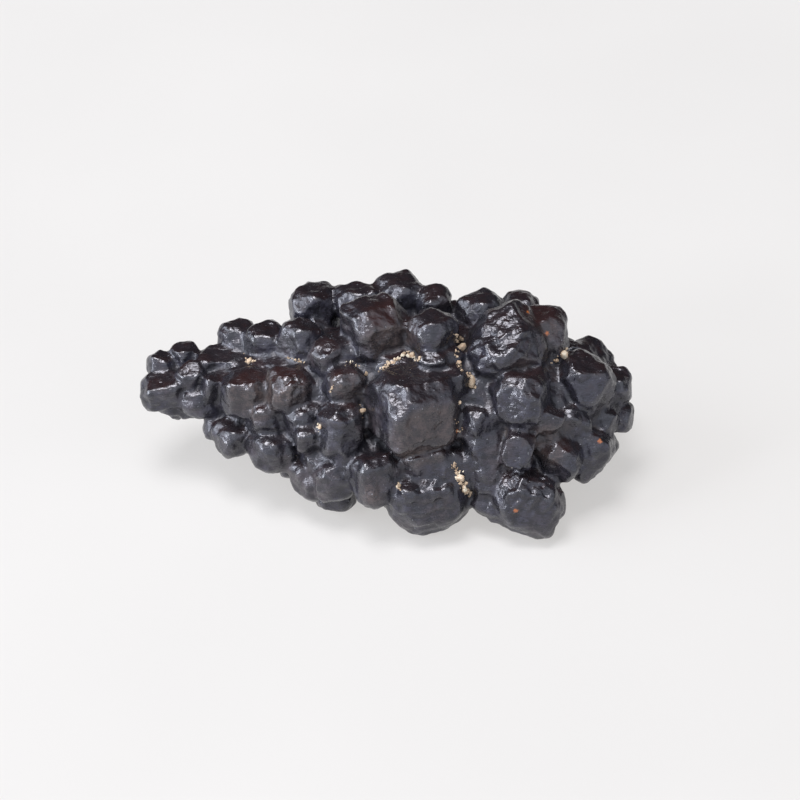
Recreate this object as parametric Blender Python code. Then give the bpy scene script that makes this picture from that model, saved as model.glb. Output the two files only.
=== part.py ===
"""A prophecy stone: a spindle of iron-oxide crystals that grew together as one piece.

Crystals stud a tapering core. The stone lies on its side along X, its narrow tip at -X, and rests on
its lowest crystals. The crystals of the front are listed as they are seen by someone who looks at that
side from above; those of the back and the underside follow a rule round the core.
"""

import math
import random
from collections import namedtuple

import bmesh
import bpy
from mathutils import Matrix, Vector

# Driving dimensions
MM = 0.001
LOOK_DOWN = math.radians(38)  # how far above the horizon the front is looked at
SPINE_AT = Vector((1.5, 0.2, 11.0)) * MM  # the middle of the core's line, above the surface
CORNER_CUT = 0.29  # share of a crystal's half diagonal that its corner facets take off
EDGE_CUT = 0.19  # share of the half diagonal of a side that its edge facets take off
CUT_SPREAD = 0.45  # how unequal the facets of one crystal are
PLAIN_BELOW = 1.95  # mm; a crystal with a smaller half width has no facets along its edges
ROOT_SIDES = 6
ROOT_AT_CORE = 1.3  # radii of a crystal's root, in shares of the crystal's least half width
ROOT_AT_CRYSTAL = 0.8
ROOT_LEAN = 0.9  # a root starts this share of the way out along the core
OUTLYING = 0.5  # half widths by which a crystal clears the core before it needs a root

# The core's profile: millimetres along the stone from its middle, and radius
CORE_PROFILE = [
    (-31.6, 0.0),
    (-31.0, 1.2),
    (-28.0, 2.1),
    (-22.0, 3.7),
    (-16.0, 5.5),
    (-10.0, 7.4),
    (-3.0, 8.8),
    (6.0, 9.2),
    (14.0, 8.8),
    (20.0, 7.4),
    (25.0, 4.4),
    (27.5, 2.0),
    (28.0, 0.0),
]
CORE_SIDES = 16
CORE_RINGS = 14
CORE_MIDDLE = Vector((0.0, 1.1, 1.4))  # mm; how far the core's line is lifted halfway along
CORE_LIFT_AT_TIP = 2.0  # mm that the core's line rises from its middle to the tip, as seen
CORE_DROP_AT_BASE = 1.4  # mm that it falls to the blunt end

# The crystals of the back and the underside
RINGS = 11
RING_FIRST = -27.0  # mm along the stone of the first ring
RING_STEP = 5.1  # mm from one ring to the next
RING_MIDDLE = 3.0  # mm along the stone of the largest crystals
RING_SPAN = 34.0  # mm from there to where the sizes have fallen to the least
RING_SIZE_AT_MIDDLE = 3.1  # half widths in mm
RING_SIZE_AT_ENDS = 1.3
RING_SPACING = 2.25  # how many half widths lie between two neighbours of a ring
RING_BEDDING = 0.8  # half widths from the core's skin to a crystal's middle
RING_JITTER = 1.2  # mm to either side along the stone
RING_JITTER_OUT = 0.8  # mm in or out
RING_JITTER_ROUND = 0.3  # half widths round the core
RING_CLEARANCE = 1.2  # half widths kept between a crystal's middle and the surface, plus up to a millimetre
RING_TUMBLE = 55  # degrees that a crystal may turn each way
RING_SEED = 11
RING_SIZE_SPREAD = (0.7, 0.85, 1.0, 1.15, 1.4)  # shares of the ring's size that its crystals have
RING_FROM = math.radians(119)  # the angles round the core between which the widest rings run
RING_TO = math.radians(266)
RING_DRAW_IN = math.radians(20)  # how much shorter than that the smallest rings are at each end

# One crystal: millimetres to the right, up and towards the onlooker from the core's middle,
# half its width, height and depth, and its turn, nod and lean in degrees
Crystal = namedtuple("Crystal", "name at half turn")
FRONT = [
    Crystal("tip_end", (-29.3, 1.2, 1.6), (3.1, 2.1, 2.2), (-6, 46, 14)),
    Crystal("tip_upper", (-29.9, 4.4, 0.4), (1.5, 1.5, 1.5), (30, 38, -24)),
    Crystal("tip_crest", (-26.9, 5.5, 0.0), (1.5, 1.6, 1.5), (42, 36, 4)),
    Crystal("tip_shoulder", (-25.9, 2.9, 2.8), (1.5, 1.5, 1.4), (24, 58, 12)),
    Crystal("tip_ridge", (-22.3, 4.7, 1.2), (3.0, 1.6, 1.9), (4, 42, 0)),
    Crystal("tip_spur", (-23.4, 1.6, 3.6), (1.1, 1.5, 1.1), (34, 30, -8)),
    Crystal("tip_belly", (-25.0, 0.0, 1.4), (2.5, 2.0, 2.3), (12, 20, 10)),
    Crystal("tip_knob_left", (-28.6, -0.8, 0.6), (1.3, 1.1, 1.2), (30, 20, -20)),
    Crystal("tip_knob_right", (-26.3, -1.1, 0.2), (1.3, 1.1, 1.3), (50, 10, 10)),
    Crystal("brown_slab", (-19.2, 0.9, 5.0), (2.8, 2.9, 2.6), (-10, 36, 2)),
    Crystal("slab_foot", (-16.2, -2.0, 4.6), (2.7, 2.4, 2.6), (20, 24, 10)),
    Crystal("pitted_block", (-13.8, 1.4, 7.2), (2.6, 2.5, 2.6), (26, 27, -3)),
    Crystal("left_crown", (-20.2, 7.7, -0.4), (2.3, 2.3, 2.3), (38, 34, 0)),
    Crystal("left_brow", (-16.7, 7.0, 2.0), (2.4, 2.5, 2.4), (38, 38, 0)),
    Crystal("left_wing", (-12.3, 7.2, 4.2), (2.5, 2.7, 2.5), (58, 30, -18)),
    Crystal("peak_block", (-8.9, 5.4, 8.0), (2.2, 2.2, 2.2), (44, 44, 0)),
    Crystal("back_left_dome", (-10.9, 11.7, -1.4), (2.8, 2.7, 2.8), (12, 26, 0)),
    Crystal("back_mid_dome", (-5.4, 12.1, -0.8), (2.7, 2.5, 2.7), (16, 32, 4)),
    Crystal("great_shoulder", (-3.1, 8.2, 6.6), (3.9, 4.8, 3.8), (31, 32, 0)),
    Crystal("shoulder_foot", (-6.4, 5.6, 7.0), (2.6, 2.4, 2.4), (15, 30, 0)),
    Crystal("saddle", (-0.6, 4.4, 7.2), (3.2, 2.2, 2.8), (10, 34, 0)),
    Crystal("bright_cheek", (3.9, 8.0, 8.2), (2.9, 3.2, 2.9), (45, 38, 0)),
    Crystal("notch_floor", (6.3, 9.6, -1.0), (2.6, 2.3, 2.4), (20, 40, 12)),
    Crystal("cheek_foot", (5.4, 4.2, 8.2), (2.3, 2.6, 2.2), (30, 30, 0)),
    Crystal("back_top", (0.0, 12.9, -0.6), (2.8, 2.7, 2.8), (24, 34, 0)),
    Crystal("back_top_right", (4.2, 12.1, 1.0), (2.1, 2.1, 2.1), (34, 40, 0)),
    Crystal("gap_chip", (3.9, 4.6, 10.6), (1.6, 1.3, 1.3), (12, 58, 6)),
    Crystal("gap_wedge", (6.9, 2.5, 10.6), (1.4, 1.7, 1.4), (-28, 50, 10)),
    Crystal("great_block", (1.4, -1.0, 9.9), (4.9, 5.0, 4.9), (29, 28, -4)),
    Crystal("block_chin", (2.6, -6.4, 7.6), (3.2, 2.2, 3.2), (12, 30, 8)),
    Crystal("block_foot", (5.8, -7.7, 5.2), (4.1, 2.8, 4.3), (8, 24, 0)),
    Crystal("left_bead", (-6.8, 2.0, 9.4), (2.2, 2.2, 2.2), (24, 32, 0)),
    Crystal("left_drum", (-7.2, -3.6, 9.2), (2.6, 3.4, 2.5), (28, 24, 0)),
    Crystal("drum_bed", (-6.2, -6.9, 7.4), (2.2, 2.2, 2.2), (20, 24, 0)),
    Crystal("left_chip", (-11.4, -4.6, 7.8), (1.5, 1.8, 1.5), (10, 50, 0)),
    Crystal("chip_bed", (-12.0, -2.4, 6.2), (2.3, 2.6, 2.3), (36, 40, 10)),
    Crystal("bead_bed", (-10.2, -6.0, 4.4), (2.5, 2.6, 4.0), (25, 30, 0)),
    Crystal("lower_left_block", (-15.7, -6.0, 4.6), (2.7, 2.5, 2.7), (36, 44, -18)),
    Crystal("lower_left_bead", (-20.8, -4.7, 2.2), (2.1, 2.1, 2.1), (30, 36, 0)),
    Crystal("lower_left_knob", (-22.9, -3.5, 0.6), (1.5, 1.5, 1.5), (20, 20, 0)),
    Crystal("foot_left", (-11.0, -9.5, 4.0), (2.3, 2.5, 2.3), (40, 36, 8)),
    Crystal("foot_bead", (-8.3, -9.6, 6.2), (2.4, 2.8, 2.4), (12, 44, 4)),
    Crystal("foot_block", (-3.1, -9.4, 8.0), (3.1, 3.2, 3.1), (28, 20, 10)),
    Crystal("foot_under", (-8.0, -11.3, 0.8), (2.3, 2.2, 2.3), (24, 20, 0)),
    Crystal("foot_great", (3.4, -11.4, 4.5), (5.2, 4.6, 4.9), (14, 24, 0)),
    Crystal("neck", (10.9, -7.6, 6.0), (2.8, 5.2, 3.2), (14, 18, 15)),
    Crystal("neck_top", (11.2, -2.3, 7.8), (2.4, 2.6, 2.4), (20, 20, 0)),
    Crystal("neck_chip", (9.0, -3.0, 9.6), (1.4, 2.1, 1.5), (50, 20, -8)),
    Crystal("banded_drum", (14.8, 0.3, 9.0), (3.4, 3.4, 3.5), (-22, 18, 0)),
    Crystal("ridged_mass", (13.0, 6.0, 6.0), (4.7, 4.9, 4.3), (12, 58, 12)),
    Crystal("ridged_crown", (17.8, 8.0, 4.2), (2.9, 3.4, 3.0), (-16, 34, 8)),
    Crystal("right_brow", (10.3, 10.7, 1.8), (2.8, 2.7, 2.8), (28, 34, 6)),
    Crystal("right_back", (15.1, 11.2, -1.8), (2.3, 2.2, 2.4), (10, 28, 0)),
    Crystal("right_dome", (22.7, 1.9, 4.4), (3.3, 3.6, 3.3), (-34, 44, -10)),
    Crystal("dome_foot", (20.6, -2.4, 5.6), (2.6, 2.2, 2.4), (10, 30, 12)),
    Crystal("die_foot", (18.4, -4.8, 5.8), (2.4, 2.4, 2.3), (10, 24, -20)),
    Crystal("right_end", (26.8, 1.7, 0.8), (2.0, 2.1, 2.1), (-10, 44, 4)),
    Crystal("right_chip", (21.0, 5.8, -2.4), (1.4, 1.4, 1.4), (20, 20, 0)),
    Crystal("end_chip", (25.2, -2.6, 2.6), (1.7, 1.7, 1.7), (-30, 30, -10)),
    Crystal("end_knob", (27.5, -2.2, 0.0), (1.5, 1.6, 1.5), (-20, 20, 0)),
    Crystal("end_block", (22.9, -6.1, 3.2), (3.2, 3.2, 3.0), (-4, 22, -36)),
    Crystal("sickle_block", (19.9, -7.0, 5.9), (2.6, 2.5, 2.5), (10, 46, -40)),
    Crystal("die", (17.9, -2.3, 9.2), (1.8, 1.7, 1.6), (14, 26, -32)),
    Crystal("square_block", (14.5, -6.0, 9.2), (1.9, 2.2, 1.9), (4, 12, -16)),
    Crystal("foot_right", (15.6, -12.3, 5.4), (4.2, 3.9, 3.8), (12, 24, -24)),
    Crystal("right_toe", (18.0, -12.6, 4.6), (2.2, 2.4, 2.3), (20, 30, 10)),
    Crystal("right_flank", (12.6, -11.6, 4.6), (3.1, 3.4, 3.2), (-8, 20, -24)),
]
# Two crystals at the back that the stone rests on, and one that fills a hollow between their neighbours
REAR = [
    Crystal("rear_foot_left", (-6.0, -2.7, -9.6), (2.9, 2.9, 2.9), (20, 60, 10)),
    Crystal("rear_foot_right", (13.0, -2.7, -9.6), (3.0, 3.0, 3.0), (-15, 50, -12)),
    Crystal("rear_filler", (17.8, -6.2, -4.0), (1.6, 1.6, 1.6), (20, 30, 10)),
]


def name_seed(name):
    """A seed that depends on the crystal's name alone."""
    return sum(ord(letter) * (place + 1) for place, letter in enumerate(name))


def to_stone_frame():
    """Turns the onlooker's millimetres (right, up, towards) into metres with +Z up."""
    return Matrix.Rotation(math.pi / 2 - LOOK_DOWN, 4, "X") @ Matrix.Scale(MM, 4)


def height_of(at):
    """How far above the surface a point of the onlooker's millimetres is, in millimetres."""
    return (to_stone_frame() @ Vector(at) + SPINE_AT).z / MM


def spine_point(along):
    """The core's line at a place along the stone."""
    share = along / 30.0
    drop = share * (CORE_LIFT_AT_TIP if along < 0 else CORE_DROP_AT_BASE)
    return Vector((along, -drop, 0.0)) + CORE_MIDDLE * (1 - min(1.0, abs(share)))


def core_radius(along):
    """The core's radius at a place along the stone, read from its profile."""
    for (before, small), (after, large) in zip(CORE_PROFILE, CORE_PROFILE[1:]):
        if before <= along <= after:
            return small + (large - small) * (along - before) / (after - before)
    return 0.0


def round_the_core(around):
    """The direction at an angle round the core: 0 towards the onlooker, 90 degrees up."""
    return Vector((0.0, math.sin(around), math.cos(around)))


def finished_mesh(name, bm):
    """Moves a body into the stone's frame and keeps it as a mesh."""
    bm.transform(Matrix.Translation(SPINE_AT) @ to_stone_frame())
    mesh = bpy.data.meshes.new(name)
    bm.to_mesh(mesh)
    bm.free()
    return mesh


def core_mesh(name):
    """The core: a ball drawn out along X to the profile, its line bent a little at the middle."""
    bm = bmesh.new()
    bmesh.ops.create_uvsphere(bm, u_segments=CORE_SIDES, v_segments=CORE_RINGS, radius=1.0)
    first, last = CORE_PROFILE[0][0], CORE_PROFILE[-1][0]
    for vert in bm.verts:
        out = Vector((0.0, vert.co.x, vert.co.y))
        along = (first + last) / 2 + (last - first) / 2 * vert.co.z
        if out.length > 0.001:
            out *= core_radius(along) / out.length
        vert.co = spine_point(along) + out
    bmesh.ops.recalc_face_normals(bm, faces=bm.faces)
    return finished_mesh(name, bm)


def cut_off(bm, normal, distance):
    """Cuts a convex body with a plane and closes it with one flat facet."""
    whole = bm.verts[:] + bm.edges[:] + bm.faces[:]
    cut = bmesh.ops.bisect_plane(
        bm, geom=whole, plane_co=normal * distance, plane_no=normal, clear_outer=True
    )
    rim = [item for item in cut["geom_cut"] if isinstance(item, bmesh.types.BMEdge)]
    if rim:
        bmesh.ops.contextual_create(bm, geom=rim)


def crystal_mesh(crystal):
    """A block with a facet across each corner and each edge, no two of them quite alike."""
    chance = random.Random(name_seed(crystal.name))
    bm = bmesh.new()
    bmesh.ops.create_cube(bm, size=2.0)
    half = Vector(crystal.half)
    bmesh.ops.scale(bm, vec=half, verts=bm.verts)
    fewest = 3 if min(half) < PLAIN_BELOW else 2
    signs = (-1, 0, 1)
    for direction in [Vector((x, y, z)) for x in signs for y in signs for z in signs]:
        sides = sum(abs(part) for part in direction)
        if sides < fewest:
            continue
        share = CORNER_CUT if sides == 3 else EDGE_CUT
        share *= 1 + CUT_SPREAD * chance.uniform(-1, 1)
        reach = sum(abs(part) * size for part, size in zip(direction, half))
        cut_off(bm, direction.normalized(), reach / math.sqrt(sides) * (1 - share))
    turn, nod, lean = (math.radians(angle) for angle in crystal.turn)
    tumble = (
        Matrix.Rotation(lean, 4, "Z")
        @ Matrix.Rotation(nod, 4, "X")
        @ Matrix.Rotation(turn, 4, "Y")
    )
    bm.transform(Matrix.Translation(crystal.at) @ tumble)
    return finished_mesh(crystal.name, bm)


def root_mesh(crystal):
    """The tapered foot by which an outlying crystal grows from the core."""
    end = Vector(crystal.at)
    start = spine_point(end.x * ROOT_LEAN)
    thickness = min(crystal.half)
    bm = bmesh.new()
    bmesh.ops.create_cone(
        bm,
        cap_ends=True,
        segments=ROOT_SIDES,
        radius1=thickness * ROOT_AT_CORE,
        radius2=thickness * ROOT_AT_CRYSTAL,
        depth=(end - start).length,
    )
    aim = (end - start).to_track_quat("Z", "Y").to_matrix().to_4x4()
    bm.transform(Matrix.Translation((start + end) / 2) @ aim)
    return finished_mesh(crystal.name + "_root", bm)


def outlying(crystal):
    """Whether a crystal might otherwise only touch the core, or miss it."""
    gap = (Vector(crystal.at) - spine_point(crystal.at[0])).length - core_radius(crystal.at[0])
    return gap > min(crystal.half) * OUTLYING


def ring_crystals():
    """The crystals of the back and the underside, in rings round the core."""
    chance = random.Random(RING_SEED)
    found = []
    for ring in range(RINGS):
        along = RING_FIRST + RING_STEP * ring
        fade = math.cos(math.pi / 2 * (along - RING_MIDDLE) / RING_SPAN)
        size = RING_SIZE_AT_ENDS + (RING_SIZE_AT_MIDDLE - RING_SIZE_AT_ENDS) * fade
        reach = core_radius(along) + size * RING_BEDDING
        start = RING_FROM + RING_DRAW_IN * (1 - fade)
        arc = RING_TO - RING_DRAW_IN * (1 - fade) - start
        places = max(2, round(arc * reach / (RING_SPACING * size)))
        for place in range(places):
            half = size * chance.choice(RING_SIZE_SPREAD)
            around = start + arc * (place + 0.25 + 0.5 * (ring % 2)) / places
            around += chance.uniform(-RING_JITTER_ROUND, RING_JITTER_ROUND) * size / reach
            at = spine_point(along + chance.uniform(-RING_JITTER, RING_JITTER))
            at += round_the_core(around) * (reach + chance.uniform(-RING_JITTER_OUT, RING_JITTER_OUT))
            low = half * RING_CLEARANCE + chance.uniform(0.1, 1.2)
            lift = max(0.0, low - height_of(at))
            at += Vector((0.0, math.cos(LOOK_DOWN), math.sin(LOOK_DOWN))) * lift
            shape = [half * chance.uniform(0.9, 1.15) for side in range(3)]
            turn = [chance.uniform(-RING_TUMBLE, RING_TUMBLE) for axis in range(3)]
            found.append(Crystal(f"ring_{ring}_{place}", at, shape, turn))
    return found


def surface_mesh():
    """The block whose top is the surface that the stone rests on."""
    bm = bmesh.new()
    bmesh.ops.create_cube(bm, size=0.1)
    bmesh.ops.translate(bm, vec=(0.0, 0.0, -0.05), verts=bm.verts)
    mesh = bpy.data.meshes.new("surface")
    bm.to_mesh(mesh)
    bm.free()
    return mesh


def join_boolean(stone, name, operation, **operand):
    """Adds one exact Boolean to the stone."""
    modifier = stone.modifiers.new(name, "BOOLEAN")
    modifier.operation = operation
    modifier.solver = "EXACT"
    for key, value in operand.items():
        setattr(modifier, key, value)


def stone_material():
    """Dark iron oxide with a dull metallic sheen."""
    material = bpy.data.materials.new("dark_iron_oxide")
    material.use_nodes = True
    shader = material.node_tree.nodes["Principled BSDF"]
    shader.inputs["Base Color"].default_value = (0.028, 0.024, 0.027, 1.0)
    shader.inputs["Roughness"].default_value = 0.4
    shader.inputs["Metallic"].default_value = 0.1
    return material


def main():
    for obj in list(bpy.data.objects):
        bpy.data.objects.remove(obj)
    kept = bpy.data.collections.new("prophecy_stone")
    growth = bpy.data.collections.new("crystals")
    cutters = bpy.data.collections.new("cutters")
    for collection in (kept, growth, cutters):
        bpy.context.scene.collection.children.link(collection)

    stone = bpy.data.objects.new("stone", core_mesh("stone"))
    stone.data.materials.append(stone_material())
    kept.objects.link(stone)

    crystals = FRONT + REAR + ring_crystals()
    bodies = [crystal_mesh(crystal) for crystal in crystals]
    bodies += [root_mesh(crystal) for crystal in crystals if outlying(crystal)]
    for mesh in bodies:
        growth.objects.link(bpy.data.objects.new(mesh.name, mesh))
    surface = bpy.data.objects.new("surface", surface_mesh())
    cutters.objects.link(surface)
    for helper in list(growth.objects) + [surface]:
        helper.hide_render = True
        helper.display_type = "WIRE"

    join_boolean(stone, "grown together", "UNION", operand_type="COLLECTION", collection=growth)
    join_boolean(stone, "flat where it rests", "DIFFERENCE", object=surface)


main()
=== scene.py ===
import math

import bmesh
import bpy
import numpy as np
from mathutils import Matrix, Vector
from mathutils.bvhtree import BVHTree


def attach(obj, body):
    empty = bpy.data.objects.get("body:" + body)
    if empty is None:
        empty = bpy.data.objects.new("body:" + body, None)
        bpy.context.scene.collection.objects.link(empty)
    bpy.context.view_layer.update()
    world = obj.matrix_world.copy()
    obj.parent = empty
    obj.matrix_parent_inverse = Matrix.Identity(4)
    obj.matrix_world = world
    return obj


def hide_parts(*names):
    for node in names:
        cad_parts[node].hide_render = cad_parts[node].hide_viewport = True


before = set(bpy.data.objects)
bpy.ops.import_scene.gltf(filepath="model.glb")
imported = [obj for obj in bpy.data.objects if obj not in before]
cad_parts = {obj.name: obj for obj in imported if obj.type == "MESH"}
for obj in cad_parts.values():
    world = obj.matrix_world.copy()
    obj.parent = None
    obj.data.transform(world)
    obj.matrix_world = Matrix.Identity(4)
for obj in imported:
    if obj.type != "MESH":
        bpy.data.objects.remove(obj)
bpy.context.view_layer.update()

mm = 0.001

# How the photograph sees the stone: from 38 degrees above the surface, 8 pixels to a millimetre
eye = {
    "lookDown": math.radians(38),
    "middle": Vector((1.5, 0.2, 11.0)) * mm,
    "pixelsPerMm": 8.0,
    "pictureMiddle": 400,
    "distance": 0.5,  # in metres; with the lens and the sensor in mm it makes the pixels' size
    "sensor": 36.0,
    "lens": 180.0,
}
rightWay = Vector((1, 0, 0))
upWay = Vector((0, math.sin(eye["lookDown"]), math.cos(eye["lookDown"])))
towardsWay = Vector((0, -math.cos(eye["lookDown"]), math.sin(eye["lookDown"])))


def seenAt(u, v):
    # the point at a pixel of the photograph, on the plane through the middle of the view
    right = (u - eye["pictureMiddle"]) / eye["pixelsPerMm"]
    up = (eye["pictureMiddle"] - v) / eye["pixelsPerMm"]
    return eye["middle"] + (rightWay * right + upWay * up) * mm


def addModifier(obj, kind, **settings):
    modifier = obj.modifiers.new(kind.lower(), kind)
    for key, value in settings.items():
        setattr(modifier, key, value)
    return modifier


def addObject(name, mesh):
    obj = bpy.data.objects.new(name, mesh)
    bpy.context.scene.collection.objects.link(obj)
    return obj


def madePlain(obj, name):
    # keeps what the modifiers make, as an object of its own
    graph = bpy.context.evaluated_depsgraph_get()
    mesh = bpy.data.meshes.new_from_object(obj.evaluated_get(graph))
    mesh.name = name
    plain = addObject(name, mesh)
    bpy.data.objects.remove(obj)
    return plain


class Noise:
    # smooth noise of about -1 to 1 at points given as rows

    def __init__(self, seed):
        maker = np.random.default_rng(seed)
        self.order = np.concatenate([maker.permutation(256)] * 3)
        slopes = maker.normal(size=(256, 3))
        self.slopes = slopes / np.linalg.norm(slopes, axis=1)[:, None]

    def at(self, points):
        cell = np.floor(points).astype(int)
        inside = points - cell
        ease = inside**3 * (inside * (inside * 6 - 15) + 10)
        cell &= 255
        total = np.zeros(len(points))
        for corner in range(8):
            step = np.array([corner & 1, corner >> 1 & 1, corner >> 2 & 1])
            x, y, z = (cell + step).T
            slope = self.slopes[self.order[self.order[self.order[x] + y] + z]]
            weight = np.where(step, ease, 1 - ease).prod(axis=1)
            total += weight * ((inside - step) * slope).sum(axis=1)
        return total * 1.6  # brings the extremes to about 1

    def layers(self, points, size, count=2):
        # each layer half as large and half as strong as the one before
        return sum(self.at(points / size * 2**n + 17.3 * n) * 0.5**n for n in range(count))


def smoothStep(low, high, values):
    share = np.clip((values - low) / (high - low), 0, 1)
    return share * share * (3 - 2 * share)


def pointsOf(mesh):
    points = np.empty(len(mesh.vertices) * 3)
    mesh.vertices.foreach_get("co", points)
    return points.reshape(-1, 3)


def normalsOf(mesh):
    normals = np.empty(len(mesh.vertices) * 3)
    mesh.vertices.foreach_get("normal", normals)
    return normals.reshape(-1, 3)


def neighbourMean(mesh, values, rounds):
    # each point's value, averaged with its neighbours' so many times
    ends = np.empty(len(mesh.edges) * 2, int)
    mesh.edges.foreach_get("vertices", ends)
    a, b = ends.reshape(-1, 2).T
    count = np.bincount(a, minlength=len(values)) + np.bincount(b, minlength=len(values)) + 1.0
    values = values.copy()
    for turn in range(rounds):
        total = values.copy()
        for axis in range(values.shape[1]):
            total[:, axis] += np.bincount(a, values[b, axis], len(values))
            total[:, axis] += np.bincount(b, values[a, axis], len(values))
        values = total / count[:, None]
    return values


class Looker:
    # finds the place on the stone that a pixel of the photograph shows

    def __init__(self, obj):
        self.tree = BVHTree.FromObject(obj, bpy.context.evaluated_depsgraph_get())
        self.camera = eye["middle"] + towardsWay * eye["distance"]

    def hit(self, u, v):
        way = (seenAt(u, v) - self.camera).normalized()
        return self.tree.ray_cast(self.camera, way)[:2]  # the place and the normal


stoneShape = {
    "voxel": 0.19 * mm,
    "mostTriangles": 196000,
    "edgeRounding": 0.1 * mm,  # worn off the crystals' edges
    "creviceFill": 0.15 * mm,  # silt in narrow crevices
    "softening": 1,  # rounds of smoothing
    "undulation": 0.24,  # mm that the faces roll in and out, over so many mm
    "undulationSize": 2.6,
    "ripple": 0.13,  # the same, finer
    "rippleSize": 1.3,
    "creaseRounds": 40,  # how widely and how narrowly the points are averaged to find
    "edgeRounds": 6,  # the hollows between the crystals, and their edges
    "creaseDepth": (0.1, 0.9),  # mm below the average, where a crease starts and is full
    "edgeHeight": (0.03, 0.14),  # mm above it, for an edge
}

# Worn and grown marks of the front, each at a pixel of the photograph:
# its reach in mm, slant in degrees, spacing in mm and height in mm
stoneMarks = [
    {"kind": "wrinkles", "pixel": (500, 342), "reach": 6.0, "slant": 32, "size": 0.85, "height": 0.2},
    {"kind": "wrinkles", "pixel": (395, 305), "reach": 4.6, "slant": -38, "size": 1.1, "height": 0.16},
    {"kind": "wrinkles", "pixel": (420, 448), "reach": 4.6, "slant": 8, "size": 0.6, "height": 0.12},
    {"kind": "wrinkles", "pixel": (438, 490), "reach": 3.4, "slant": 84, "size": 0.8, "height": 0.22},
    {"kind": "ledges", "pixel": (425, 515), "reach": 4.5, "slant": 6, "size": 1.4, "height": 0.26},
    {"kind": "wrinkles", "pixel": (526, 393), "reach": 2.6, "slant": 86, "size": 0.7, "height": 0.1},
    {"kind": "pits", "pixel": (298, 388), "reach": 2.8, "slant": 30, "size": 0.7, "height": 0.3},
    {"kind": "wrinkles", "pixel": (530, 490), "reach": 4.6, "slant": 60, "size": 0.8, "height": 0.2},
    {"kind": "pits", "pixel": (525, 480), "reach": 4.6, "slant": 20, "size": 0.9, "height": 0.2},
    {"kind": "wrinkles", "pixel": (485, 440), "reach": 4.0, "slant": 75, "size": 1.2, "height": 0.12},
]


def markHeights(mark, looker, noise, points):
    # how far one mark lifts each point, in mm: nothing past its reach
    offset = points - np.array(looker.hit(*mark["pixel"])[0]) / mm
    distance = np.linalg.norm(offset, axis=1) / mark["reach"]
    near = distance < 1
    offset, distance = offset[near], distance[near]
    right, up, towards = (offset @ np.array(way) for way in (rightWay, upWay, towardsWay))
    slant = math.radians(mark["slant"])
    along = right * math.cos(slant) + up * math.sin(slant)
    across = up * math.cos(slant) - right * math.sin(slant) + 0.5 * noise.at(points[near] / 2.5)
    if mark["kind"] == "wrinkles":
        # noise drawn out along the slant
        relief = noise.layers(np.stack([along / 3.5, across, towards / 1.6], 1), mark["size"])
    elif mark["kind"] == "ledges":
        # a steep rise and a long fall, over and over
        step = across / mark["size"] + 0.35 * noise.at(offset / 3.0)
        step -= np.floor(step)
        relief = smoothStep(0.0, 0.2, step) - step
    else:
        relief = -smoothStep(0.15, 0.7, noise.layers(points[near], mark["size"]))  # pits
    heights = np.zeros(len(points))
    heights[near] = mark["height"] * relief * (1 - smoothStep(0.55, 1.0, distance))
    return heights


def stoneMesh(source):
    # the grown-together crystals: narrow crevices silted, edges worn, faces rolling a little
    bm = bmesh.new()
    bm.from_mesh(source)
    bmesh.ops.remove_doubles(bm, verts=bm.verts, dist=1e-6)
    merged = bpy.data.meshes.new("merged")
    bm.to_mesh(merged)
    bm.free()
    shape = addObject("shape", merged)
    rounding, filling = stoneShape["edgeRounding"], stoneShape["creviceFill"]
    for offset in (-rounding, rounding + filling, -filling):  # in, out and back
        addModifier(shape, "REMESH", mode="VOXEL", voxel_size=stoneShape["voxel"])
        addModifier(shape, "DISPLACE", strength=offset, mid_level=0.0, direction="NORMAL")
    addModifier(shape, "SMOOTH", factor=0.5, iterations=stoneShape["softening"])
    fine = madePlain(shape, "fine shape")
    mesh = fine.data
    points, normals = pointsOf(mesh) / mm, normalsOf(mesh)
    noise, looker = Noise(5), Looker(fine)
    lift = stoneShape["undulation"] * noise.layers(points, stoneShape["undulationSize"])
    lift += stoneShape["ripple"] * noise.layers(points + 0.3, stoneShape["rippleSize"])
    for mark in stoneMarks:
        lift += markHeights(mark, looker, noise, points)
    points += normals * lift[:, None]
    points[:, 2] = np.maximum(points[:, 2], 0.0)  # it rests on the surface
    mesh.vertices.foreach_set("co", (points * mm).ravel())
    mesh.update()
    mesh.shade_smooth()
    share = stoneShape["mostTriangles"] / (2 * len(mesh.polygons))
    if share < 1:
        addModifier(fine, "DECIMATE", ratio=share)
    return madePlain(fine, "crystal_cluster")


def storeHollows(mesh):
    # crease: 1 deep between the crystals, edge: 1 along their edges, for the material (painted shade
    # and dust in the creases) and the sand
    points, normals = pointsOf(mesh) / mm, normalsOf(mesh)
    wide, near = (
        ((neighbourMean(mesh, points, stoneShape[rounds]) - points) * normals).sum(axis=1)
        for rounds in ("creaseRounds", "edgeRounds")
    )
    for name, values in (
        ("crease", smoothStep(*stoneShape["creaseDepth"], wide)),
        ("edge", smoothStep(*stoneShape["edgeHeight"], -near)),
    ):
        attribute = mesh.attributes.new(name, "FLOAT", "POINT")
        attribute.data.foreach_set("value", values.astype(np.float32))


class Wire:
    # a socket whose values can be added, multiplied and so on in Python

    def __init__(self, tree, socket):
        self.tree, self.socket = tree, socket

    def maths(self, operation, *values):
        node = addNode(self.tree, "ShaderNodeMath", {"operation": operation}, dict(enumerate(values)))
        return Wire(self.tree, node.outputs[0])

    def __add__(self, other):
        return self.maths("ADD", self, other)

    def __sub__(self, other):
        return self.maths("SUBTRACT", self, other)

    def __rsub__(self, other):
        return self.maths("SUBTRACT", other, self)

    def __mul__(self, other):
        return self.maths("MULTIPLY", self, other)

    __radd__ = __add__
    __rmul__ = __mul__

    def limited(self):
        return self.maths("MAXIMUM", self.maths("MINIMUM", self, 1.0), 0.0)


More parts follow.
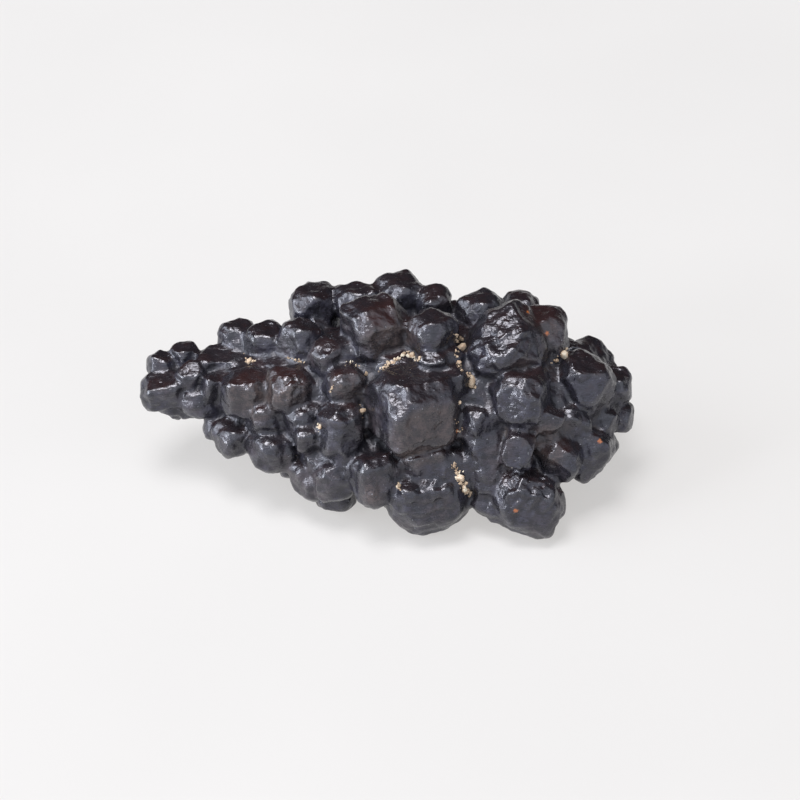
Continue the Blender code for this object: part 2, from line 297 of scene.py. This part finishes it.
def addNode(tree, kind, settings=None, values=None):
    # one node: its settings first, then a value or a link for each socket
    node = tree.nodes.new(kind)
    for key, value in (settings or {}).items():
        if key == "stops":
            while len(node.color_ramp.elements) < len(value):
                node.color_ramp.elements.new(0.5)
            for element, (position, colour) in zip(node.color_ramp.elements, value):
                element.position, element.color = position, colour
        else:
            setattr(node, key, value)
    for key, value in (values or {}).items():
        if isinstance(value, Wire):
            tree.links.new(value.socket, node.inputs[key])
        else:
            node.inputs[key].default_value = value
    return node


def wireOf(tree, node, output=0):
    return Wire(tree, node.outputs[output])


def newWire(tree, kind, settings=None, values=None, output=0):
    # an output of a new node
    return wireOf(tree, addNode(tree, kind, settings, values), output)


def newMaterial(name):
    material = bpy.data.materials.new(name)
    material.use_nodes = True
    tree = material.node_tree
    tree.nodes.clear()
    return material, tree


def finishMaterial(tree, values):
    shader = newWire(tree, "ShaderNodeBsdfPrincipled", None, values)
    addNode(tree, "ShaderNodeOutputMaterial", None, {"Surface": shader})


def inMillimetres(tree):
    place = newWire(tree, "ShaderNodeTexCoord", output="Object")
    return newWire(tree, "ShaderNodeVectorMath", {"operation": "SCALE"}, {0: place, "Scale": 1000.0})


def noiseWire(tree, place, scale, detail=3.0, roughness=0.5, distortion=0.0):
    values = {"Vector": place, "Scale": scale, "Detail": detail}
    values |= {"Roughness": roughness, "Distortion": distortion}
    return newWire(tree, "ShaderNodeTexNoise", None, values)


def rangeWire(tree, value, low, high):
    # 0 at low, 1 at high, eased between
    settings = {"interpolation_type": "SMOOTHSTEP"}
    values = {"Value": value, "From Min": low, "From Max": high}
    return newWire(tree, "ShaderNodeMapRange", settings, values)


def attributeWire(tree, name):
    return newWire(tree, "ShaderNodeAttribute", {"attribute_name": name}, output="Fac")


def mixColours(tree, share, under, over):
    # 0, 6, 7 and 2 are the colour mix's own factor, inputs and result
    return newWire(tree, "ShaderNodeMix", {"data_type": "RGBA"}, {0: share, 6: under, 7: over}, 2)


def stretched(tree, place, turn, scale):
    values = {"Vector": place, "Rotation": turn, "Scale": scale}
    return newWire(tree, "ShaderNodeMapping", None, values)


stoneFinish = {
    "black": (0.0095, 0.009, 0.0115, 1),
    "maroon": (0.024, 0.0100, 0.0095, 1),  # where it faces up
    "paintedBlueSheen": (0.024, 0.023, 0.034, 1),  # painted bluish sheen, where it faces sideways
    "warmToneAndSheen": (0.078, 0.057, 0.051, 1),  # painted sheen too, browner on the crystals of a warm brown tone
    "speck": (0.30, 0.31, 0.34, 1),
    "dust": (0.16, 0.115, 0.08, 1),
    "rust": (0.42, 0.13, 0.035, 1),
    "ior": 1.6,
    "sheen": (0.93, 0.92, 1.0, 1),  # the colour of what it mirrors
    "edgePolish": 0.5,
    "polishRoughness": 0.22,
    "roughness": (0.27, 0.38),  # bare, and where the sheen is painted
    "bumpDepth": 0.3 * mm,
    # iron-orange stains: pixel of the photograph and radius in mm
    "stains": [
        ((516, 511), 0.28),
        ((600, 441), 0.28),
        ((547, 333), 0.22),
        ((457, 431), 0.25),
        ((528, 312), 0.2),
    ],
    # crystals of a warm brown tone, with the brown painted sheen on their sides: the same
    "warmth": [
        ((428, 436), 4.8),
        ((250, 395), 3.2),
        ((292, 382), 2.8),
        ((388, 330), 3.6),
        ((345, 385), 2.4),
        ((540, 315), 3.0),
        ((372, 496), 1.8),
        ((522, 373), 2.0),
        ((545, 440), 3.2),
    ],
}


def spotsWire(tree, place, spots, waver, ease):
    # 1 inside any of the spots, each a centre and a radius in mm, with a wavering border
    total = None
    for centre, radius in spots:
        ends = {0: place, 1: centre}
        gap = newWire(tree, "ShaderNodeVectorMath", {"operation": "DISTANCE"}, ends, "Value")
        spot = rangeWire(tree, gap + waver, radius + ease, radius - ease)
        total = spot if total is None else total + spot
    return total.limited()


def stoneMaterial(stains, warmth):
    material, tree = newMaterial("dark iron oxide")
    place = inMillimetres(tree)
    crease, edge = attributeWire(tree, "crease"), attributeWire(tree, "edge")
    normal = newWire(tree, "ShaderNodeNewGeometry", output="Normal")
    facing = newWire(tree, "ShaderNodeSeparateXYZ", None, {0: normal}, "Z")
    flowWay = stretched(tree, place, (0.5, 0.3, 0.6), (0.35, 1.8, 1.8))
    scratchWay = stretched(tree, place, (0.2, 0.9, 0.35), (0.4, 6.0, 6.0))
    cloud = noiseWire(tree, place, 0.2, 3.0)
    tint = noiseWire(tree, place, 0.13, 2.0)
    mottle = noiseWire(tree, place, 0.8, 5.0, 0.6)
    lumps = noiseWire(tree, place, 1.1, 2.0, 0.45)
    grain = noiseWire(tree, place, 5.0, 4.0, 0.65)
    flow = noiseWire(tree, flowWay, 1.5, 2.0, 0.5, 0.5)
    scratches = noiseWire(tree, scratchWay, 1.8, 2.0, 0.6)
    specks = noiseWire(tree, place, 3.4, 1.0)

    wander = (cloud - 0.5) * 0.9 + (mottle - 0.5) * 0.5
    upward = rangeWire(tree, facing + wander, 0.5, 0.95)
    warm = spotsWire(tree, place, warmth, (cloud - 0.5) * 5.0, 1.0)
    warm = (warm * 0.8 + rangeWire(tree, tint, 0.5, 0.66) * 0.35).limited()
    red = upward * (0.2 + warm * 0.65) + rangeWire(tree, mottle, 0.45, 0.65) * 0.25
    # painted shade: deep in the creases the red-brown gives way to black
    red = (red * (1.0 - crease)).limited()
    colour = mixColours(tree, red, stoneFinish["black"], stoneFinish["maroon"])
    streaks = (grain - 0.5) * 0.5 + (scratches - 0.5) * 0.8
    patchy = rangeWire(tree, mottle + streaks + (cloud - 0.5) * 0.6, 0.4, 0.68)
    coverage = patchy + warm * (0.6 - patchy) * 0.3
    # the sides get a patchy painted sheen, lighter than the bare stone and bluish, browner on the warm
    # crystals; less of it deep in the creases, as painted shade
    paintedSheen = (1.0 - upward) * (0.05 + coverage * 0.95) * (1.0 - crease * 0.6)
    sheenColour = mixColours(tree, warm, stoneFinish["paintedBlueSheen"], stoneFinish["warmToneAndSheen"])
    colour = mixColours(tree, paintedSheen.limited(), colour, sheenColour)
    speckled = rangeWire(tree, specks, 0.73, 0.78) * rangeWire(tree, cloud, 0.4, 0.6)
    colour = mixColours(tree, speckled.limited() * 0.6, colour, stoneFinish["speck"])
    dusty = crease * crease * rangeWire(tree, mottle, 0.5, 0.66) * 0.3
    colour = mixColours(tree, dusty.limited(), colour, stoneFinish["dust"])
    rust = spotsWire(tree, place, stains, (grain - 0.5) * 0.8, 0.12)
    colour = mixColours(tree, rust * 0.75, colour, stoneFinish["rust"])

    bare, underSheen = stoneFinish["roughness"]
    rough = bare + paintedSheen * (underSheen - bare) + (lumps - 0.5) * 0.2 + crease * 0.35 - edge * 0.06
    height = flow * 0.2 + mottle * 0.07 + lumps * 0.65 + scratches * 0.02
    bumps = {"Strength": 1.0, "Distance": stoneFinish["bumpDepth"], "Height": height}
    values = {
        "Base Color": colour,
        "Roughness": rough.limited(),
        "IOR": stoneFinish["ior"],
        "Specular Tint": stoneFinish["sheen"],
        "Coat Weight": edge * stoneFinish["edgePolish"],
        "Coat Roughness": stoneFinish["polishRoughness"],
        "Normal": newWire(tree, "ShaderNodeBump", None, bumps),
    }
    finishMaterial(tree, values)
    return material


sandFinish = {
    "stops": [
        (0.0, (0.30, 0.21, 0.14, 1)),
        (0.4, (0.46, 0.36, 0.26, 1)),
        (0.7, (0.42, 0.29, 0.19, 1)),
        (1.0, (0.60, 0.53, 0.42, 1)),
    ],
    "roughness": 0.7,
    "bumpDepth": 0.1 * mm,
}


def sandMaterial():
    material, tree = newMaterial("desert sand")
    place = inMillimetres(tree)
    tone = rangeWire(tree, noiseWire(tree, place, 0.8, 2.0), 0.3, 0.7)
    grain = noiseWire(tree, place, 5.0, 3.0)
    shade = tone + (grain - 0.5) * 0.5
    bumps = {"Strength": 0.5, "Distance": sandFinish["bumpDepth"], "Height": grain}
    values = {
        "Base Color": newWire(tree, "ShaderNodeValToRGB", {"stops": sandFinish["stops"]}, {0: shade}),
        "Roughness": sandFinish["roughness"],
        "Normal": newWire(tree, "ShaderNodeBump", None, bumps),
    }
    finishMaterial(tree, values)
    return material


grainShape = {
    "inputs": {"Lumpiness": 0.42 * mm, "Roundness": 3, "Seed": 4},
    "drawSeed": 3,
    "trailLength": 1.3,  # widths that a grain of a trail is long
    "thickness": (0.4, 0.5),  # half a grain's thickness, least and most, in widths
    "raised": 0.2,  # from the surface to a grain's middle, in widths: it is sunk a little
    # single grains: pixel of the photograph, length and width in mm
    "singles": [
        ((250, 361), 0.9, 0.6),
        ((362, 411), 0.95, 0.6),
        ((366, 374), 0.55, 0.45),
        ((321, 427), 0.6, 0.5),
        ((398, 486), 0.9, 0.55),
        ((460, 340), 1.0, 0.75),
        ((460, 349), 1.5, 1.25),
        ((458, 362), 0.8, 0.5),
        ((470, 381), 1.7, 0.95),
        ((459, 403), 0.6, 0.4),
        ((459, 477), 1.35, 0.95),
        ((464, 488), 1.1, 0.7),
        ((563, 354), 1.25, 1.0),
        ((556, 360), 0.7, 0.5),
    ],
    # trails of small grains: the pixels they run through, how many, the smallest and
    # the largest in mm, and how far they stray in pixels
    "trails": [
        ([(380, 370), (388, 364), (398, 359), (407, 353), (412, 356), (420, 360)], 90, 0.1, 0.42, 1.8),
        ([(456, 333), (458, 345), (457, 360), (462, 372)], 34, 0.1, 0.4, 2.5),
        ([(466, 372), (472, 382), (474, 390)], 16, 0.15, 0.4, 2.0),
        ([(453, 464), (460, 478), (466, 490), (471, 497)], 80, 0.1, 0.42, 3.2),
        ([(245, 360), (254, 361)], 8, 0.12, 0.3, 2.0),
        ([(286, 357), (296, 360), (306, 363)], 14, 0.12, 0.32, 1.5),
        ([(333, 384), (330, 392)], 9, 0.1, 0.25, 1.0),
        ([(344, 366), (352, 362), (360, 368)], 10, 0.1, 0.25, 2.0),
        ([(320, 424), (318, 432)], 8, 0.1, 0.28, 1.5),
        ([(396, 482), (400, 490)], 8, 0.1, 0.3, 1.5),
        ([(550, 364), (560, 357), (568, 351)], 14, 0.12, 0.3, 2.0),
        ([(456, 420), (458, 432), (462, 428)], 8, 0.1, 0.22, 2.0),
        ([(361, 404), (362, 418)], 8, 0.1, 0.25, 1.2),
    ],
}


def groupSocket(tree, name, way, kind, value=None):
    # the identifier is what a modifier's input is set by
    socket = tree.interface.new_socket(name, in_out=way, socket_type=kind)
    if value is not None:
        socket.default_value = value
    return socket.identifier


def namedWire(tree, settings, name):
    values = {"Name": name}
    return newWire(tree, "GeometryNodeInputNamedAttribute", settings, values, "Attribute")


def grainTree(name, scattered):
    # grains on the points of a mesh, or scattered over its creases, every one a different lump
    tree = bpy.data.node_groups.new(name, "GeometryNodeTree")
    entries = {
        "Geometry": ("Geometry", None),
        "Density": ("Float", 1e6),
        "Smallest": ("Float", 0.1 * mm),
        "Largest": ("Float", 0.25 * mm),
        "Lumpiness": ("Float", 0.3 * mm),
        "Roundness": ("Int", 1),
        "Seed": ("Int", 1),
        "Material": ("Material", None),
    }
    keys = {
        entry: groupSocket(tree, entry, "INPUT", "NodeSocket" + kind, value)
        for entry, (kind, value) in entries.items()
    }
    groupSocket(tree, "Geometry", "OUTPUT", "NodeSocketGeometry")
    start = addNode(tree, "NodeGroupInput")
    given = {entry: wireOf(tree, start, entry) for entry in entries}

    rounding = {"Radius": 1.0, "Subdivisions": given["Roundness"]}
    ball = newWire(tree, "GeometryNodeMeshIcoSphere", None, rounding, "Mesh")
    single, vector = {"data_type": "FLOAT"}, {"data_type": "FLOAT_VECTOR"}
    turns = {0: (0, 0, 0), 1: (6.28, 6.28, 6.28), "Seed": given["Seed"]}
    turn = newWire(tree, "FunctionNodeRandomValue", vector, turns, 0)
    if scattered:
        share = namedWire(tree, single, "sand")
        spread = {"Mesh": given["Geometry"], "Density": share * given["Density"], "Seed": given["Seed"]}
        points = newWire(tree, "GeometryNodeDistributePointsOnFaces", None, spread, "Points")
        sizes = {2: given["Smallest"], 3: given["Largest"], "Seed": given["Seed"]}
        size = newWire(tree, "FunctionNodeRandomValue", single, sizes, 1)
    else:
        points = given["Geometry"]
        size = namedWire(tree, vector, "size")
    placing = {"Points": points, "Instance": ball, "Rotation": turn, "Scale": size}
    grains = newWire(tree, "GeometryNodeInstanceOnPoints", None, placing, "Instances")
    grains = newWire(tree, "GeometryNodeRealizeInstances", None, {"Geometry": grains})

    # the noise is steady in space, so grains that lie apart get different lumps
    place = newWire(tree, "GeometryNodeInputPosition")
    noise = {"Vector": place, "Scale": 2200.0, "Detail": 1.0}
    centring = {0: newWire(tree, "ShaderNodeTexNoise", None, noise, "Color"), 1: (0.5, 0.5, 0.5)}
    centred = newWire(tree, "ShaderNodeVectorMath", {"operation": "SUBTRACT"}, centring)
    scaling = {0: centred, "Scale": given["Lumpiness"]}
    push = newWire(tree, "ShaderNodeVectorMath", {"operation": "SCALE"}, scaling)
    grains = newWire(tree, "GeometryNodeSetPosition", None, {"Geometry": grains, "Offset": push})
    grains = newWire(tree, "GeometryNodeSetShadeSmooth", None, {"Geometry": grains})
    coating = {"Geometry": grains, "Material": given["Material"]}
    coated = newWire(tree, "GeometryNodeSetMaterial", None, coating)
    addNode(tree, "NodeGroupOutput", None, {"Geometry": coated})
    return tree, keys


def grainsFrom(name, mesh, scattered, inputs):
    # runs the grain tree on a mesh and keeps only the grains
    holder = addObject(name + " holder", mesh)
    tree, keys = grainTree(name, scattered)
    modifier = addModifier(holder, "NODES", node_group=tree)
    for key, value in inputs.items():
        modifier[keys[key]] = value
    return madePlain(holder, name)


def trailPixels(maker):
    # the pixels and widths of all the grains of the trails
    for path, count, smallest, largest, spread in grainShape["trails"]:
        steps = np.array(path, float)
        for share in np.sort(maker.random(count)) * (len(steps) - 1):
            leg = int(share)
            onPath = steps[leg] + (steps[leg + 1] - steps[leg]) * (share - leg)
            pixel = onPath + maker.normal(size=2) * spread * 0.6
            yield pixel, smallest + (largest - smallest) * maker.random() ** 2


def lodgedGrains(looker, material):
    # single grains and trails, each on the surface that its pixel shows
    maker = np.random.default_rng(grainShape["drawSeed"])
    grains = list(grainShape["singles"])
    for pixel, width in trailPixels(maker):
        grains.append((pixel, width * grainShape["trailLength"], width))
    spots, sizes = [], []
    for pixel, length, width in grains:
        place, normal = looker.hit(*pixel)
        if place is not None:
            spots.append(place + normal * width * grainShape["raised"] * mm)
            thickness = width * maker.uniform(*grainShape["thickness"])
            sizes.append((length / 2 * mm, width / 2 * mm, thickness * mm))
    mesh = bpy.data.meshes.new("grain spots")
    mesh.from_pydata(spots, [], [])
    attribute = mesh.attributes.new("size", "FLOAT_VECTOR", "POINT")
    attribute.data.foreach_set("vector", np.array(sizes).ravel())
    inputs = grainShape["inputs"] | {"Material": material}
    return grainsFrom("lodged_grains", mesh, False, inputs)


dustShape = {
    "inputs": {
        "Density": 7e6,  # grains to a square metre where it is thickest
        "Smallest": 0.04 * mm,
        "Largest": 0.12 * mm,
        "Lumpiness": 0.08 * mm,
        "Roundness": 1,
        "Seed": 7,
    },
    "patchSeed": 11,
    "patchSize": 4.0,  # mm
    "patchStrength": (0.25, 0.6),  # of the noise, where a patch starts and is full
    "creaseDepth": (0.55, 0.95),  # of the crease, the same
    "facingUp": (-0.1, 0.6),  # of the slope: 1 faces straight up
}


def creviceDust(stone, material):
    # fine sand, thickest where a crease faces up
    mesh = stone.data.copy()
    points, normals = pointsOf(mesh) / mm, normalsOf(mesh)
    crease = np.empty(len(points), np.float32)
    mesh.attributes["crease"].data.foreach_get("value", crease)
    noise = Noise(dustShape["patchSeed"]).layers(points, dustShape["patchSize"])
    patches = smoothStep(*dustShape["patchStrength"], noise)
    upward = smoothStep(*dustShape["facingUp"], normals[:, 2])
    sand = smoothStep(*dustShape["creaseDepth"], crease) * upward * patches
    attribute = mesh.attributes.new("sand", "FLOAT", "POINT")
    attribute.data.foreach_set("value", sand.astype(np.float32))
    inputs = dustShape["inputs"] | {"Material": material}
    return grainsFrom("crevice_dust", mesh, True, inputs)


studio = {
    "floor": (0.24, 0.234, 0.229, 1),
    "floorGlow": 2.15,  # light of its own, so that shadows on it stay faint
    "floorWidth": 1.6,
    "room": (0.87, 0.92, 1.0, 1),
    "darkest": 0.03,  # behind the stone
    "lightest": 1.2,  # behind the eye
    # softboxes: name, place, width, power in watts, colour
    "softboxes": [
        ("overhead", (-0.12, -0.10, 0.75), 0.32, 5.4, (0.98, 0.98, 1.0)),
        ("window", (-0.90, -0.10, 0.45), 0.7, 8.0, (0.86, 0.92, 1.0)),
        ("left", (-0.72, -0.42, 0.30), 0.16, 2.6, (0.92, 0.95, 1.0)),
    ],
}


def floorMaterial():
    material, tree = newMaterial("pale floor")
    place = inMillimetres(tree)
    shade = noiseWire(tree, place, 0.012, 3.0)
    pale = studio["floor"]
    darker = tuple(value * 0.97 for value in pale[:3]) + (1,)
    colour = mixColours(tree, rangeWire(tree, shade, 0.35, 0.65), pale, darker)
    values = {"Base Color": colour, "Roughness": 0.55}
    values |= {"Emission Color": colour, "Emission Strength": studio["floorGlow"]}
    finishMaterial(tree, values)
    return material


def roomWorld():
    world = bpy.data.worlds.new("room")
    world.use_nodes = True
    tree = world.node_tree
    tree.nodes.clear()
    way = newWire(tree, "ShaderNodeTexCoord", output="Generated")
    parts = addNode(tree, "ShaderNodeSeparateXYZ", None, {0: way})
    front = rangeWire(tree, wireOf(tree, parts, "Y"), 0.3, -0.5)
    above = rangeWire(tree, wireOf(tree, parts, "Z"), -0.1, 0.25)
    strength = front * above * (studio["lightest"] - studio["darkest"]) + studio["darkest"]
    values = {"Color": studio["room"], "Strength": strength}
    background = newWire(tree, "ShaderNodeBackground", None, values)
    addNode(tree, "ShaderNodeOutputWorld", None, {"Surface": background})
    return world


def setStudio():
    bm = bmesh.new()
    bmesh.ops.create_grid(bm, x_segments=1, y_segments=1, size=studio["floorWidth"] / 2)
    mesh = bpy.data.meshes.new("floor")
    bm.to_mesh(mesh)
    bm.free()
    floor = addObject("floor", mesh)
    mesh.materials.append(floorMaterial())
    bpy.context.scene.world = roomWorld()
    for name, at, width, power, colour in studio["softboxes"]:
        light = bpy.data.lights.new(name, "AREA")
        light.size, light.energy, light.color = width, power, colour
        lamp = bpy.data.objects.new(name, light)
        lamp.location = at
        lamp.rotation_euler = (Vector(at) - eye["middle"]).to_track_quat("Z", "Y").to_euler()
        bpy.context.scene.collection.objects.link(lamp)
    bpy.context.scene.view_settings.view_transform = "Standard"


def setCamera():
    data = bpy.data.cameras.new("camera")
    data.sensor_width, data.lens, data.clip_start = eye["sensor"], eye["lens"], 0.01
    camera = bpy.data.objects.new("camera", data)
    camera.location = eye["middle"] + towardsWay * eye["distance"]
    camera.rotation_euler = towardsWay.to_track_quat("Z", "Y").to_euler()
    bpy.context.scene.collection.objects.link(camera)
    bpy.context.scene.camera = camera


setCamera()
setStudio()
print("camera and studio set")

stone = stoneMesh(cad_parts["stone"].data)
storeHollows(stone.data)
looker = Looker(stone)
stains, warmth = (
    [(looker.hit(*pixel)[0] / mm, radius) for pixel, radius in stoneFinish[key]]
    for key in ("stains", "warmth")
)
stone.data.materials.append(stoneMaterial(stains, warmth))
print("stone shaped:", len(stone.data.polygons), "faces")

sand = sandMaterial()
lodged = lodgedGrains(looker, sand)
dust = creviceDust(stone, sand)
print("sand placed:", len(lodged.data.polygons), "and", len(dust.data.polygons), "faces")

for piece in (stone, lodged, dust):
    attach(piece, "root")
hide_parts("stone")
